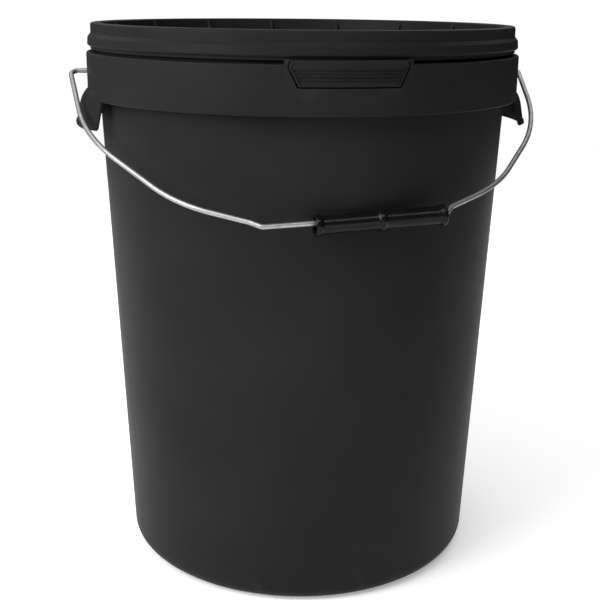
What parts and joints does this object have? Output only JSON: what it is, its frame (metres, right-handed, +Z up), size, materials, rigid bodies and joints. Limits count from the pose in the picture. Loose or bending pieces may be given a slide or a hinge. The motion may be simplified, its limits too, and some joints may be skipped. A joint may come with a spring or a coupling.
{
  "type": "plastic fermenting bucket",
  "caption": "Round tapered black plastic fermenting bucket with press-on recessed lid, collar with tear tab, side lugs and a wire bail with a plastic grip.",
  "frame": {"origin": "centre of the base, on the surface that the bucket stands on", "axes": "+Z up along the bucket's axis; the tear tab faces -Y and the bail pivots on +X and -X"},
  "size_m": [0.395, 0.3704, 0.4645],
  "materials": {
    "pail_plastic": "satin moulded polypropylene",
    "lid_plastic": "satin moulded polypropylene",
    "seal_rubber": "matt",
    "grommet_rubber": "matt",
    "galvanised_wire": "bright zinc",
    "grip_plastic": "gloss"
  },
  "bodies": {
    "pail": {"pail": "pail_plastic", "pail_collar": "pail_plastic"},
    "lid": {"lid": "lid_plastic", "lid_seal": "seal_rubber", "airlock_grommet": "grommet_rubber"},
    "tear_tab": {"tear_tab": "pail_plastic"},
    "bail": {"bail_wire": "galvanised_wire"},
    "grip": {"bail_grip": "grip_plastic"}
  },
  "joints": [
    {"name": "lid_lift", "type": "slide", "parent": "pail", "child": "lid", "axis": [0, 0, 1], "range_m": [0, 0.12]},
    {"name": "tab_fold", "type": "hinge", "parent": "pail", "child": "tear_tab", "pos_m": [0, -0.1828, 0.4256], "axis": [1, 0, 0], "range_deg": [0, 100]},
    {"name": "bail_swing", "type": "hinge", "parent": "pail", "child": "bail", "pos_m": [0, 0, 0.4255], "axis": [-1, 0, 0], "range_deg": [0, 237]},
    {"name": "grip_spin", "type": "hinge", "parent": "bail", "child": "grip", "pos_m": [0.0264, -0.17595, 0.32906], "axis": [0.9966, 0.0721, 0.0391], "continuous": true}
  ]
}
